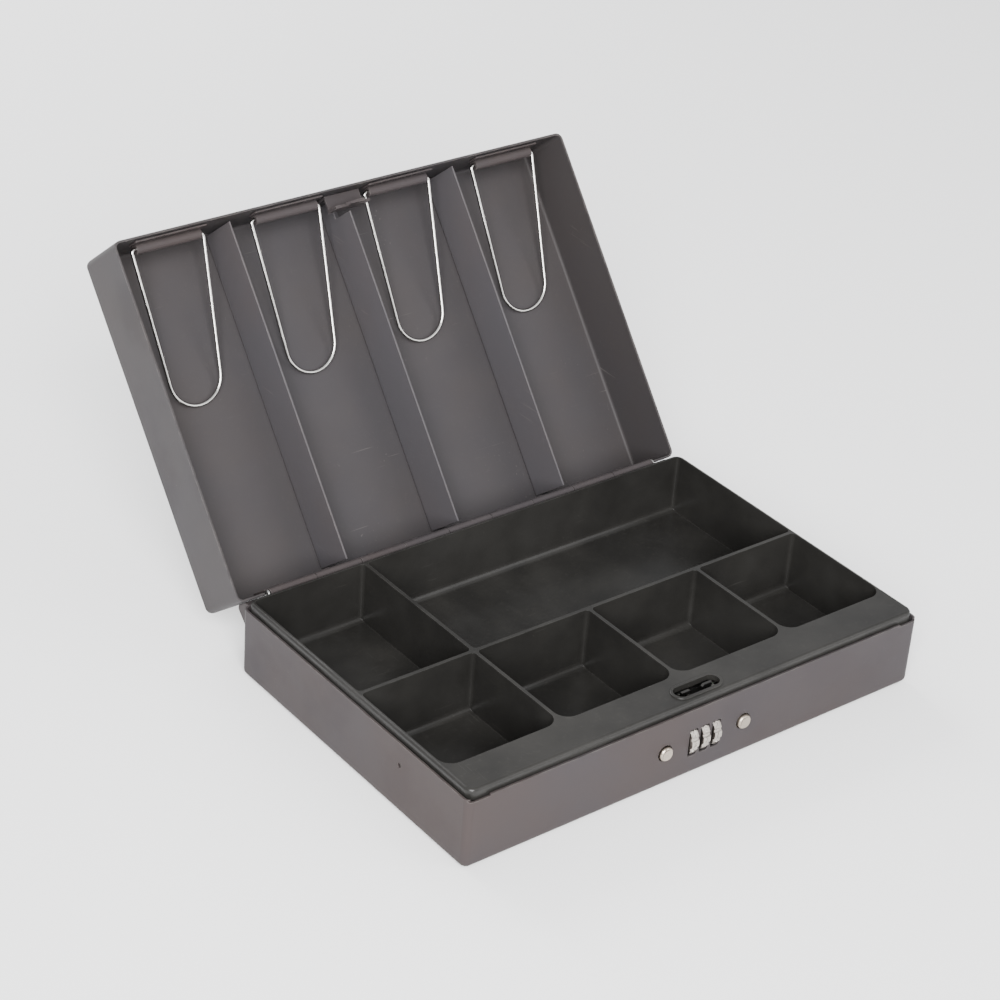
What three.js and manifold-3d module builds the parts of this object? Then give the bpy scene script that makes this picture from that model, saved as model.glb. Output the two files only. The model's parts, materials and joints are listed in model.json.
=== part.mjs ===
// Portable cash box: steel base with a combination lock, lift-out plastic tray, hinged lid with note clips.
// Millimetres, +X right, +Y back, +Z up. The origin is the middle of the base's underside.
// The box stands open: the lid leans back on its stops.

import * as THREE from 'three';
import { mergeVertices } from 'three/addons/utils/BufferGeometryUtils.js';
import Module from 'manifold-3d';

const wasm = await Module();
wasm.setup();

// ---- driving dimensions ----

const boxWidth = 292;
const boxDepth = 192;
const baseHeight = 39.6;
const lidDepth = 40;             // hinge axis to the lid's outer top face
const openAngle = 129;           // degrees from closed
const sheet = 1.2;               // steel of base and lid
const cornerRadius = 4;          // upright corners of base and lid
const foldRadius = 3;            // folded edges round the floor and the lid's top
const touchGap = 0.3;            // between pieces that rest on each other
const rimGap = 0.4;              // hinge axis to the base's rim, and to the lid's rim
const reliefLength = 13;         // notch in the front wall's rim beside each corner
const reliefDepth = 1;

const hinge = { radius: 2.6, seat: 0.4, bore: 1.6, pin: 1.3, leaf: 1, leafHeight: 15, knuckles: 9,
  length: 256, knuckleGap: 0.4, clear: 0.5, headRadius: 2.2, headLength: 1 };
const stop = { width: 8, inset: 5, height: 20, reach: 11, toe: 2.3 };

const tray = { rise: 4.4, wall: 2.2, clearance: 0.6, endClearance: 0.6, floor: 9, floorThickness: 2, foot: 0.4,
  cornerRadius: 5, rimRound: 1.8, divider: 2, ledge: 21.2, splitBack: 91.7, scoop: 22,
  fillet: 4, pocketRear: 2.5, pocketFront: 8, lip: 6, lift: 70 };
const slot = { length: 28, width: 8.5, back: 10, bead: 1.6, beadHeight: 0.8 };

const lock = { centre: 1, height: 19.5, dialPitch: 7.4, dialWidth: 4.5, dialRadius: 9.4, dialProud: 2.4,
  dialBore: 2.5, axle: 2.2, notch: 0.6, dialBoss: 4, sideGap: 0.3, windowSide: 0.55, windowEnd: 0.5,
  case: 1, caseHalf: 44.5, caseLow: 4, caseHigh: 37, flange: 7, cheekGap: 0.35, cheekLow: 8 };
const numbersPerDial = 10;
const button = { spread: 25.5, rise: 0.5, radius: 4, proud: 2, travel: 3, hole: 4.5, collar: 5.5,
  collarThickness: 1, stem: 2.5, wedge: 6, wedgeReach: 6 };
const bolt = { thickness: 1.5, noseTip: 3.6, noseRoot: 6.6, armOut: 9.8, noseLow: 42.2, noseHigh: 44.2,
  barLow: 29.6, barHigh: 35, legIn: 30.1, legOut: 35.1, legLow: 15, pegLength: 2, pegHeight: 1.5, pegRise: 26,
  stud: 20, studRadius: 1.4, studHead: 2.6, slotHalf: 1.8 };
const strike = { thickness: 1.4, halfWidth: 11.2, neck: 3.2, head: 6, headLow: -0.6, headHigh: 1.9, bodyLow: 4.6,
  webHigh: 14, flangeHigh: 24 };

const divider = { thickness: 1, foot: 10, freeEdge: 8.5, endGap: 1.5 };
const clip = { wire: 1, spread: 21.5, waist: 15.5, length: 88.8, bend: 1.9, height: 12.8, tail: 5,
  sheet: 0.8, leafOver: 0.2, leafEdge: 5.2, bendGap: 0.1, cheek: 1, springWire: 0.25, springTurns: 4 };

// ---- values worked out from them ----

const halfWidth = boxWidth / 2;
const frontFace = -boxDepth / 2;
const rearFace = boxDepth / 2;
const frontInside = frontFace + sheet;
const bayPitch = boxWidth / 4;
const axisHeight = baseHeight + rimGap;
const hingeSetback = hinge.radius + hinge.seat;
const axisBack = rearFace + hingeSetback;
const lidLength = axisBack - frontFace;
const trayTop = baseHeight + tray.rise;
const dialBack = frontFace - lock.dialProud + lock.dialRadius;
const caseFront = dialBack + lock.dialRadius + 0.6;
const strikeBack = frontFace + slot.back;
const boltFront = strikeBack - bolt.thickness / 2;
const boltBack = strikeBack + bolt.thickness / 2;
const springRadius = clip.wire + touchGap + clip.springWire;
const barrelBore = springRadius + clip.springWire + touchGap;
const barrelRadius = barrelBore + clip.sheet;
const barrelHalf = clip.spread - clip.bend - clip.bendGap;
const barrelCheek = barrelHalf - clip.cheek;
const radians = THREE.MathUtils.degToRad;

const colours = { paint: 0x6f6665, tray: 0x2b2c2a, chrome: 0xd9d6d0, zinc: 0x9a9a96, dial: 0xc9c3b9 };
const finish = {
  paint: { color: colours.paint, roughness: 0.55, metalness: 0.2 },
  tray: { color: colours.tray, roughness: 0.4, metalness: 0 },
  chrome: { color: colours.chrome, roughness: 0.15, metalness: 1 },
  zinc: { color: colours.zinc, roughness: 0.4, metalness: 1 },
  dial: { color: colours.dial, roughness: 0.35, metalness: 0.9 },
};

// ---- shape helpers ----

function solidOf(geometry) {
  const bare = geometry.clone();
  bare.deleteAttribute('normal');
  bare.deleteAttribute('uv');
  const merged = mergeVertices(bare, 1e-4);
  return new wasm.Manifold(new wasm.Mesh({
    numProp: 3,
    vertProperties: Float32Array.from(merged.attributes.position.array, (value) => Math.round(value * 1e4) / 1e4),
    triVerts: new Uint32Array(merged.index.array),
  }));
}

function geometryOf(solid) {
  const mesh = solid.getMesh();
  const geometry = new THREE.BufferGeometry();
  geometry.setAttribute('position', new THREE.BufferAttribute(new Float32Array(mesh.vertProperties), 3));
  geometry.setIndex(new THREE.BufferAttribute(new Uint32Array(mesh.triVerts), 1));
  geometry.computeVertexNormals();
  return geometry;
}

const join = (first, ...others) => others.reduce((sum, other) => sum.add(other), first);
const cut = (first, ...others) => others.reduce((rest, other) => rest.subtract(other), first);

function block(x0, x1, y0, y1, z0, z1) {
  const geometry = new THREE.BoxGeometry(x1 - x0, y1 - y0, z1 - z0);
  geometry.translate((x0 + x1) / 2, (y0 + y1) / 2, (z0 + z1) / 2);
  return solidOf(geometry);
}

// A shape in (y, z), run along X.
function prismX(shape, x0, x1, curveSegments = 8) {
  const geometry = new THREE.ExtrudeGeometry(shape, { depth: x1 - x0, bevelEnabled: false, curveSegments });
  const turn = new THREE.Matrix4().makeBasis(
    new THREE.Vector3(0, 1, 0), new THREE.Vector3(0, 0, 1), new THREE.Vector3(1, 0, 0));
  geometry.applyMatrix4(turn);
  geometry.translate(x0, 0, 0);
  return solidOf(geometry);
}

// A shape in (x, z), run along Y.
function prismY(shape, y0, y1, curveSegments = 8) {
  const geometry = new THREE.ExtrudeGeometry(shape, { depth: y1 - y0, bevelEnabled: false, curveSegments });
  geometry.rotateX(Math.PI / 2);
  geometry.translate(0, y1, 0);
  return solidOf(geometry);
}

// A shape in (x, y), run along Z.
function prismZ(shape, z0, z1, curveSegments = 6) {
  const geometry = new THREE.ExtrudeGeometry(shape, { depth: z1 - z0, bevelEnabled: false, curveSegments });
  geometry.translate(0, 0, z0);
  return solidOf(geometry);
}

const polygon = (points) => new THREE.Shape(points.map(([a, b]) => new THREE.Vector2(a, b)));

// A rectangle whose corners at low b have one radius and at high b another.
function roundedRect(a0, a1, b0, b1, lowRadius, highRadius = lowRadius) {
  const shape = new THREE.Shape();
  shape.moveTo(a0 + lowRadius, b0);
  shape.lineTo(a1 - lowRadius, b0);
  shape.absarc(a1 - lowRadius, b0 + lowRadius, lowRadius, -Math.PI / 2, 0, false);
  shape.lineTo(a1, b1 - highRadius);
  shape.absarc(a1 - highRadius, b1 - highRadius, highRadius, 0, Math.PI / 2, false);
  shape.lineTo(a0 + highRadius, b1);
  shape.absarc(a0 + highRadius, b1 - highRadius, highRadius, Math.PI / 2, Math.PI, false);
  shape.lineTo(a0, b0 + lowRadius);
  shape.absarc(a0 + lowRadius, b0 + lowRadius, lowRadius, Math.PI, Math.PI * 1.5, false);
  return shape;
}

// A turned piece: the profile is a list of [distance along the axis, radius].
function turned(profile, segments = 20) {
  return new THREE.LatheGeometry(profile.map(([along, radius]) => new THREE.Vector2(radius, along)), segments);
}

function turnedX(profile, y, z, segments) {
  const geometry = turned(profile, segments);
  geometry.rotateZ(-Math.PI / 2);
  geometry.translate(0, y, z);
  return solidOf(geometry);
}

function turnedY(profile, x, z, segments) {
  const geometry = turned(profile, segments);
  geometry.translate(x, 0, z);
  return solidOf(geometry);
}

const rodX = (radius, x0, x1, y, z, segments) =>
  turnedX([[x0, 0], [x0, radius], [x1, radius], [x1, 0]], y, z, segments);

const rodY = (radius, y0, y1, x, z, segments) =>
  turnedY([[y0, 0], [y0, radius], [y1, radius], [y1, 0]], x, z, segments);

// A round wire along a curve.
function wireAlong(curve, radius, sides, steps) {
  const section = new THREE.Shape();
  section.absarc(0, 0, radius, 0, Math.PI * 2, false);
  const points = section.getSpacedPoints(sides).slice(0, sides);
  const shape = new THREE.Shape(points);
  return new THREE.ExtrudeGeometry(shape, { steps, extrudePath: curve, bevelEnabled: false });
}

class Helix extends THREE.Curve {
  constructor(radius, length, turns) {
    super();
    Object.assign(this, { radius, length, turns });
  }

  getPoint(share, target = new THREE.Vector3()) {
    const angle = share * this.turns * Math.PI * 2;
    return target.set(share * this.length, Math.cos(angle) * this.radius, Math.sin(angle) * this.radius);
  }
}

// A coil along +X from its own origin.
function coil(radius, wire, length, turns) {
  return wireAlong(new Helix(radius, length, turns), wire, 5, Math.round(turns * 12));
}

// A block with rounded upright corners and both its lower and upper edges rounded.
function roundedBlock(x0, x1, y0, y1, z0, z1, corner, fold) {
  const geometry = new THREE.ExtrudeGeometry(roundedRect(x0, x1, y0, y1, corner), {
    depth: z1 - z0 - 2 * fold, bevelEnabled: true, bevelThickness: fold, bevelSize: fold, bevelOffset: -fold,
    bevelSegments: 3, curveSegments: 4,
  });
  geometry.translate(0, 0, z0 + fold);
  return solidOf(geometry);
}

// A folded pan: rounded at the closed end of its height, square at the other.
function pan(x0, x1, y0, y1, z0, z1, corner, fold, closedLow) {
  const overrun = fold * 2;
  const low = closedLow ? z0 : z0 - overrun;
  const high = closedLow ? z1 + overrun : z1;
  const trimLow = closedLow ? z1 : low - 1;
  return cut(roundedBlock(x0, x1, y0, y1, low, high, corner, fold),
    block(x0 - 1, x1 + 1, y0 - 1, y1 + 1, trimLow, trimLow + overrun + 1));
}

function hollowPan(x0, x1, y0, y1, z0, z1, closedLow) {
  const outer = pan(x0, x1, y0, y1, z0, z1, cornerRadius, foldRadius, closedLow);
  const low = closedLow ? z0 + sheet : z0 - 1;
  const high = closedLow ? z1 + 1 : z1 - sheet;
  const innerCorner = Math.max(cornerRadius - sheet, 0.5);
  const innerFold = Math.min(Math.max(foldRadius - sheet, 0.4), innerCorner);
  return cut(outer, pan(x0 + sheet, x1 - sheet, y0 + sheet, y1 - sheet, low, high, innerCorner, innerFold, closedLow));
}

const box = new THREE.Group();

function addMesh(parent, name, shape, look) {
  const geometry = shape.isBufferGeometry ? shape : geometryOf(shape);
  const mesh = new THREE.Mesh(geometry, new THREE.MeshStandardMaterial(finish[look]));
  mesh.name = name;
  parent.add(mesh);
  return mesh;
}

// ---- base ----

const dialOffsets = [-1, 0, 1].map((step) => step * lock.dialPitch);
const sideNames = [[-1, 'left'], [1, 'right']];

function baseShell() {
  let shell = hollowPan(-halfWidth, halfWidth, frontFace, rearFace, 0, baseHeight, true);
  const insideReach = dialBack - frontInside;
  const halfWindow = Math.sqrt(lock.dialRadius ** 2 - insideReach ** 2) + lock.windowEnd;
  for (const offset of dialOffsets) {
    const middle = lock.centre + offset;
    const halfGap = lock.dialWidth / 2 + lock.windowSide;
    const shape = roundedRect(middle - halfGap, middle + halfGap, lock.height - halfWindow,
      lock.height + halfWindow, 1);
    shell = cut(shell, prismY(shape, frontFace - 1, frontInside + 1, 3));
  }
  for (const [side] of sideNames) {
    const middle = lock.centre + side * button.spread;
    const hole = rodY(button.hole, frontFace - 1, frontInside + 1, middle, lock.height + button.rise, 24);
    const near = side > 0 ? halfWidth - reliefLength : -halfWidth - 1;
    const relief = block(near, near + reliefLength + 1, frontFace - 1, frontInside + 0.5,
      baseHeight - reliefDepth, baseHeight + 1);
    shell = cut(shell, hole, relief);
  }
  const jigHole = { radius: 1.3, forward: 42, height: 27 };
  return cut(shell, rodX(jigHole.radius, -halfWidth - 1, -halfWidth + sheet + 1, -jigHole.forward,
    jigHole.height, 12));
}

addMesh(box, 'base_shell', baseShell(), 'paint');

// Gussets behind the rear wall, cut to the slope of the open lid's rear wall.
function lidStop(side) {
  const slope = radians(openAngle);
  const along = [Math.sin(slope), Math.cos(slope)];
  const inward = [Math.cos(slope), -Math.sin(slope)];
  const pointAt = (distance) => [0, 1].map((i) =>
    [axisBack, axisHeight][i] + along[i] * distance + inward[i] * (touchGap + 0.05));
  const foot = rearFace + hinge.seat;
  const heel = pointAt(hingeSetback);
  const tip = pointAt(stop.reach);
  const outline = polygon([[foot, axisHeight - stop.height], [tip[0], tip[1] - stop.toe], tip, heel, [foot, heel[1]]]);
  const outer = halfWidth - stop.inset;
  const x0 = side > 0 ? outer - stop.width : -outer;
  return prismX(outline, x0, x0 + stop.width);
}

for (const [side, name] of sideNames) addMesh(box, `lid_stop_${name}`, lidStop(side), 'paint');

// ---- hinge ----

const knucklePitch = hinge.length / hinge.knuckles;
const knuckleSpan = (index) => [
  -hinge.length / 2 + index * knucklePitch + hinge.knuckleGap / 2,
  -hinge.length / 2 + (index + 1) * knucklePitch - hinge.knuckleGap / 2,
];

// One leaf with its knuckles, against its wall; the axis is at y = 0, z = 0, and upward is 1 for the lid's leaf.
function hingeLeaf(first, upward) {
  const leafNear = upward > 0 ? -sheet - hinge.seat : hinge.leaf - hinge.radius;
  const leafFar = leafNear - hinge.leaf;
  const plateStart = upward * (hinge.radius + hinge.clear);
  const plateEnd = upward * (hinge.radius + hinge.clear + hinge.leafHeight);
  const sorted = (a, b) => [Math.min(a, b), Math.max(a, b)];
  let leaf = block(-hinge.length / 2, hinge.length / 2, leafFar, leafNear, ...sorted(plateStart, plateEnd));
  for (let index = first; index < hinge.knuckles; index += 2) {
    const [x0, x1] = knuckleSpan(index);
    const barrel = rodX(hinge.radius, x0, x1, 0, 0, 20);
    const tab = block(x0, x1, leafFar, leafNear, ...sorted(0, plateStart + upward * 0.2));
    leaf = join(leaf, barrel, tab);
  }
  return cut(leaf, rodX(hinge.bore, -hinge.length / 2 - 1, hinge.length / 2 + 1, 0, 0, 16));
}

const hingeGroup = new THREE.Group();
hingeGroup.position.set(0, axisBack, axisHeight);
box.add(hingeGroup);
addMesh(hingeGroup, 'hinge_leaf_base', hingeLeaf(0, -1), 'paint');

const pinEnd = hinge.length / 2 + touchGap;
addMesh(hingeGroup, 'hinge_pin', turnedX([
  [-pinEnd - hinge.headLength, 0], [-pinEnd - hinge.headLength, hinge.headRadius], [-pinEnd, hinge.headRadius],
  [-pinEnd, hinge.pin], [pinEnd, hinge.pin], [pinEnd, hinge.headRadius],
  [pinEnd + hinge.headLength, hinge.headRadius], [pinEnd + hinge.headLength, 0]], 0, 0, 16), 'zinc');

// ---- lock ----

const cheekIn = lock.dialPitch + lock.dialWidth / 2 + lock.dialPitch - lock.dialWidth - lock.sideGap + lock.cheekGap;

function lockCase() {
  const { centre, caseHalf, caseLow, caseHigh } = lock;
  const wallGap = frontInside + touchGap;
  let body = block(centre - caseHalf, centre + caseHalf, caseFront, caseFront + lock.case, caseLow, caseHigh);
  const axleHole = rodX(lock.dialBore, centre - caseHalf - 1, centre + caseHalf + 1, dialBack, lock.height, 16);
  for (const [side] of sideNames) {
    const span = (a, b) => [Math.min(centre + side * a, centre + side * b), Math.max(centre + side * a, centre + side * b)];
    const outerCheek = block(...span(caseHalf - lock.case, caseHalf), wallGap, caseFront + 0.5, caseLow, caseHigh);
    const flange = block(...span(caseHalf - 0.5, caseHalf + lock.flange), wallGap, wallGap + lock.case,
      caseLow, caseHigh);
    const innerCheek = cut(block(...span(cheekIn, cheekIn + lock.case), wallGap, caseFront + 0.5,
      lock.cheekLow, bolt.barLow - 0.4), axleHole);
    body = join(body, outerCheek, flange, innerCheek);
  }
  return body;
}

addMesh(box, 'lock_case', lockCase(), 'zinc');

const axleEnd = cheekIn + lock.case + touchGap;
const axleHead = { radius: 3.4, length: 0.8 };
addMesh(box, 'dial_axle', turnedX([
  [-axleEnd - axleHead.length, 0], [-axleEnd - axleHead.length, axleHead.radius], [-axleEnd, axleHead.radius],
  [-axleEnd, lock.axle], [axleEnd, lock.axle], [axleEnd, axleHead.radius],
  [axleEnd + axleHead.length, axleHead.radius], [axleEnd + axleHead.length, 0]], 0, 0, 20)
  .translate([lock.centre, dialBack, lock.height]), 'zinc');

// A number wheel: ten flats parted by finger notches, with a boss that spaces it from the next wheel.
function dialWheel() {
  const outline = [];
  const step = (Math.PI * 2) / numbersPerDial;
  for (let number = 0; number < numbersPerDial; number += 1) {
    const middle = (number + 0.5) * step;
    for (const [turn, depth] of [[-0.36, 0], [0, 0], [0.36, 0], [0.5, lock.notch]]) {
      const angle = middle + turn * step;
      const radius = lock.dialRadius - depth;
      outline.push([Math.cos(angle) * radius, Math.sin(angle) * radius]);
    }
  }
  const half = lock.dialWidth / 2;
  const boss = rodX(lock.dialBoss, 0, lock.dialPitch - half - lock.sideGap, 0, 0, 20);
  const bore = rodX(lock.dialBore, -lock.dialPitch, lock.dialPitch, 0, 0, 20);
  return cut(join(prismX(polygon(outline), -half, half), boss), bore);
}

['left', 'middle', 'right'].forEach((name, index) => {
  const dial = addMesh(box, `dial_${name}`, dialWheel(), 'dial');
  dial.position.set(lock.centre + dialOffsets[index], dialBack, lock.height);
});

// Leaf fingers that rise from a strip on the case's back plate and click in the wheels' notches.
function detentSpring() {
  const leaf = 0.6;
  const back = caseFront - touchGap;
  const low = 4.8;
  const touch = lock.height - lock.dialRadius - touchGap;
  const fingerHalf = 1.7;
  const fingerShape = polygon([
    [back, low], [back, low + leaf], [dialBack + 4, low + leaf], [dialBack + 0.6, touch], [dialBack - 0.6, touch],
    [dialBack - 3, low + 2.6], [dialBack - 3.4, low + 2.2], [dialBack - 0.6, touch - leaf],
    [dialBack + 0.2, touch - leaf], [dialBack + 3.8, low]]);
  let spring = block(-lock.dialPitch - fingerHalf, lock.dialPitch + fingerHalf, back - leaf, back, low, low + 8);
  for (const offset of dialOffsets) {
    spring = join(spring, prismX(fingerShape, offset - fingerHalf, offset + fingerHalf));
  }
  return spring.translate([lock.centre, 0, 0]);
}

addMesh(box, 'detent_spring', detentSpring(), 'zinc');

// A latch bolt: a nose and arm that stand in the tray's slot, a guided bar, and a leg that the button's wedge moves.
function latchBolt(side) {
  const at = (offset, height) => [lock.centre + side * offset, height];
  const points = [
    at(bolt.noseTip, bolt.noseLow), at(bolt.noseTip, bolt.noseHigh - 1), at(bolt.noseTip + 1, bolt.noseHigh),
    at(bolt.armOut, bolt.noseHigh), at(bolt.armOut, bolt.barHigh), at(bolt.legOut, bolt.barHigh),
    at(bolt.legOut, bolt.pegRise + bolt.pegHeight / 2), at(bolt.legOut + bolt.pegLength, bolt.pegRise + bolt.pegHeight / 2),
    at(bolt.legOut + bolt.pegLength, bolt.pegRise - bolt.pegHeight / 2), at(bolt.legOut, bolt.pegRise - bolt.pegHeight / 2),
    at(bolt.legOut, bolt.legLow), at(bolt.legIn, bolt.legLow), at(bolt.legIn, bolt.barLow),
    at(bolt.noseRoot, bolt.barLow), at(bolt.noseRoot, bolt.noseLow)];
  const plate = prismY(polygon(side > 0 ? points.reverse() : points), boltFront, boltBack);
  const middle = (bolt.barLow + bolt.barHigh) / 2;
  const ends = [bolt.stud - bolt.slotHalf - button.travel, bolt.stud + bolt.slotHalf].map((o) => at(o, 0)[0]);
  const guide = roundedRect(Math.min(...ends), Math.max(...ends), middle - bolt.slotHalf, middle + bolt.slotHalf,
    bolt.slotHalf - 0.01);
  return cut(plate, prismY(guide, boltFront - 1, boltBack + 1, 5));
}

function boltStud(side) {
  const x = lock.centre + side * bolt.stud;
  const z = (bolt.barLow + bolt.barHigh) / 2;
  const headThickness = 0.9;
  const frontOfBolt = boltFront - touchGap - 0.05;
  return turnedY([
    [frontOfBolt - headThickness, 0], [frontOfBolt - headThickness, bolt.studHead], [frontOfBolt, bolt.studHead],
    [frontOfBolt, bolt.studRadius], [boltBack + touchGap, bolt.studRadius], [boltBack + touchGap, bolt.studHead],
    [caseFront - touchGap, bolt.studHead], [caseFront - touchGap, 0]], x, z, 14);
}

// The button: domed cap, collar behind the wall, stem, and a 45 degree wedge beside the bolt's leg.
function pushButton(side) {
  const x = lock.centre + side * button.spread;
  const z = lock.height + button.rise;
  const front = frontFace - button.proud;
  const collarFront = frontInside + 0.4;
  const stemEnd = collarFront + button.collarThickness + 3;
  const cap = turnedY([
    [front, 0], [front + 0.15, button.radius * 0.5], [front + 0.7, button.radius * 0.86],
    [front + 1.5, button.radius], [collarFront, button.radius], [collarFront, button.collar],
    [collarFront + button.collarThickness, button.collar], [collarFront + button.collarThickness, button.stem],
    [stemEnd, button.stem], [stemEnd, 0]], x, z, 24);
  const faceAtBolt = bolt.legIn - button.spread - touchGap;
  const wedgeFront = stemEnd - 0.5;
  const wedgeBack = wedgeFront + button.wedgeReach;
  const reachAt = (y) => faceAtBolt + boltFront - y;
  const outline = [[-button.stem, wedgeFront], [reachAt(wedgeFront), wedgeFront], [reachAt(wedgeBack), wedgeBack],
    [-button.stem, wedgeBack]].map(([u, y]) => [x + side * u, y]);
  const wedge = prismZ(polygon(side > 0 ? outline : outline.reverse()), z - button.wedge / 2, z + button.wedge / 2);
  return { solid: join(cap, wedge), back: wedgeBack, x, z };
}

for (const [side, name] of sideNames) {
  addMesh(box, `bolt_${name}`, latchBolt(side), 'zinc');
  addMesh(box, `bolt_stud_${name}`, boltStud(side), 'zinc');
  const boltCoil = { radius: 1.9, wire: 0.3, turns: 5 };
  const coilStart = bolt.legOut + touchGap + boltCoil.wire;
  const coilLength = lock.caseHalf - lock.case - touchGap - boltCoil.wire - coilStart;
  const boltSpring = addMesh(box, `bolt_spring_${name}`,
    coil(boltCoil.radius, boltCoil.wire, coilLength, boltCoil.turns), 'zinc');
  boltSpring.position.set(lock.centre + side * coilStart, (boltFront + boltBack) / 2, bolt.pegRise);
  boltSpring.rotation.z = side > 0 ? 0 : Math.PI;

  const push = pushButton(side);
  addMesh(box, `button_${name}`, push.solid, 'chrome');
  const buttonCoil = { radius: 2.2, wire: 0.3, turns: 2.5 };
  const gap = touchGap + buttonCoil.wire;
  const buttonSpring = addMesh(box, `button_spring_${name}`,
    coil(buttonCoil.radius, buttonCoil.wire, caseFront - gap - push.back - gap, buttonCoil.turns), 'zinc');
  buttonSpring.position.set(push.x, push.back + gap, push.z);
  buttonSpring.rotation.z = Math.PI / 2;
}

// ---- tray ----

const trayHalf = halfWidth - sheet - tray.clearance;
const trayFront = frontInside + tray.endClearance;
const trayRear = rearFace - sheet - tray.endClearance;
const pocketHalf = trayHalf - tray.wall;
const ledgeBack = trayFront + tray.ledge;
const splitBack = trayFront + tray.splitBack;
const undersideFloor = tray.floor - tray.floorThickness;

// A pocket open at the top: scooped up towards the front, filleted at the back, round-cornered in plan.
function pocket(x0, x1, y0, y1, frontCurve, frontCorner) {
  const high = trayTop + 2;
  const side = new THREE.Shape();
  side.moveTo(y0, high);
  side.lineTo(y0, tray.floor + frontCurve);
  side.absarc(y0 + frontCurve, tray.floor + frontCurve, frontCurve, Math.PI, Math.PI * 1.5, false);
  side.lineTo(y1 - tray.fillet, tray.floor);
  side.absarc(y1 - tray.fillet, tray.floor + tray.fillet, tray.fillet, -Math.PI / 2, 0, false);
  side.lineTo(y1, high);
  const plan = prismZ(roundedRect(x0, x1, y0, y1, frontCorner, tray.pocketRear), tray.floor - 1, high, 5);
  return prismX(side, x0 - 1, x1 + 1, 7).intersect(plan);
}

function trayBody() {
  const low = sheet + tray.foot;
  const round = tray.rimRound;
  const outer = roundedBlock(-trayHalf, trayHalf, trayFront, trayRear, low, trayTop, tray.cornerRadius, round);
  const halfDivider = tray.divider / 2;
  const rearBack = trayRear - tray.wall;
  const edges = [-2, -1, 0, 1, 2].map((step) => [
    Math.max(step * bayPitch + halfDivider, -pocketHalf), Math.min(step * bayPitch - halfDivider, pocketHalf)]);
  const rearPocket = (from, to) => pocket(edges[from][0], edges[to][1], splitBack + halfDivider, rearBack,
    tray.fillet, tray.pocketRear);
  const pockets = [rearPocket(0, 1), rearPocket(1, 4)];
  for (let index = 0; index < 4; index += 1) {
    pockets.push(pocket(edges[index][0], edges[index + 1][1], ledgeBack, splitBack - halfDivider,
      tray.scoop, tray.pocketFront));
  }
  const under = new THREE.Shape();
  const wallBack = ledgeBack - tray.floorThickness;
  const scoopMiddle = ledgeBack + tray.scoop;
  const ledgeUnder = trayTop - tray.wall;
  under.moveTo(trayFront - 1, low - 1);
  under.lineTo(rearBack, low - 1);
  under.lineTo(rearBack, undersideFloor);
  under.lineTo(scoopMiddle, undersideFloor);
  under.absarc(scoopMiddle, tray.floor + tray.scoop, tray.scoop + tray.floorThickness, -Math.PI / 2, Math.PI, true);
  under.lineTo(wallBack, ledgeUnder);
  under.lineTo(trayFront + tray.wall, ledgeUnder);
  under.lineTo(trayFront + tray.wall, trayTop - tray.lip);
  under.lineTo(trayFront - 1, trayTop - tray.lip);
  const hollow = prismX(under, -pocketHalf, pocketHalf, 7);
  const slotShape = (grow) => roundedRect(lock.centre - slot.length / 2 - grow, lock.centre + slot.length / 2 + grow,
    strikeBack - slot.width / 2 - grow, strikeBack + slot.width / 2 + grow, slot.width / 2 + grow - 0.01);
  const bead = prismZ(slotShape(slot.bead), ledgeUnder, trayTop + slot.beadHeight, 6);
  const hole = prismZ(slotShape(0), ledgeUnder - 1, trayTop + slot.beadHeight + 1, 6);
  return cut(join(cut(outer, ...pockets, hollow), bead), hole);
}

addMesh(box, 'tray', trayBody(), 'tray');

// ---- lid ----
// Drawn closed, with the hinge axis at y = 0 and z = 0, then turned open about that axis.

const lid = new THREE.Group();
lid.position.set(0, axisBack, axisHeight);
lid.rotation.x = -radians(openAngle);
box.add(lid);

const lidFrontInside = -lidLength + sheet;
const lidTopInside = lidDepth - sheet;

function lidShell() {
  const shell = hollowPan(-halfWidth, halfWidth, -lidLength, 0, rimGap, lidDepth, false);
  const notchHalf = hinge.length / 2 + hinge.headLength + 2 * touchGap;
  return cut(shell, block(-notchHalf, notchHalf, -sheet - 0.5, 1, 0, hinge.radius + hinge.clear));
}

addMesh(lid, 'lid_shell', lidShell(), 'paint');
addMesh(lid, 'hinge_leaf_lid', hingeLeaf(1, 1), 'paint');

// Catch behind the lid's front wall: a flange, a web, and a plate ending in a neck and head for the bolts.
const strikeFront = strikeBack - strike.thickness / 2 - axisBack;
function lidStrike() {
  const plateBack = strikeFront + strike.thickness;
  const wallSide = lidFrontInside + touchGap;
  const flange = block(-strike.halfWidth, strike.halfWidth, wallSide, wallSide + strike.thickness,
    strike.webHigh - strike.thickness, strike.flangeHigh);
  const web = block(-strike.halfWidth, strike.halfWidth, wallSide, plateBack,
    strike.webHigh - strike.thickness, strike.webHigh);
  const outline = polygon([
    [-strike.halfWidth, strike.webHigh], [-strike.halfWidth, strike.bodyLow], [-strike.neck, strike.bodyLow],
    [-strike.neck, strike.headHigh], [-strike.head, strike.headHigh], [-strike.head + 1.5, strike.headLow],
    [strike.head - 1.5, strike.headLow], [strike.head, strike.headHigh], [strike.neck, strike.headHigh],
    [strike.neck, strike.bodyLow], [strike.halfWidth, strike.bodyLow], [strike.halfWidth, strike.webHigh]]);
  return join(flange, web, prismY(outline, strikeFront, plateBack)).translate([lock.centre, 0, 0]);
}

addMesh(lid, 'lid_strike', lidStrike(), 'zinc');

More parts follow.
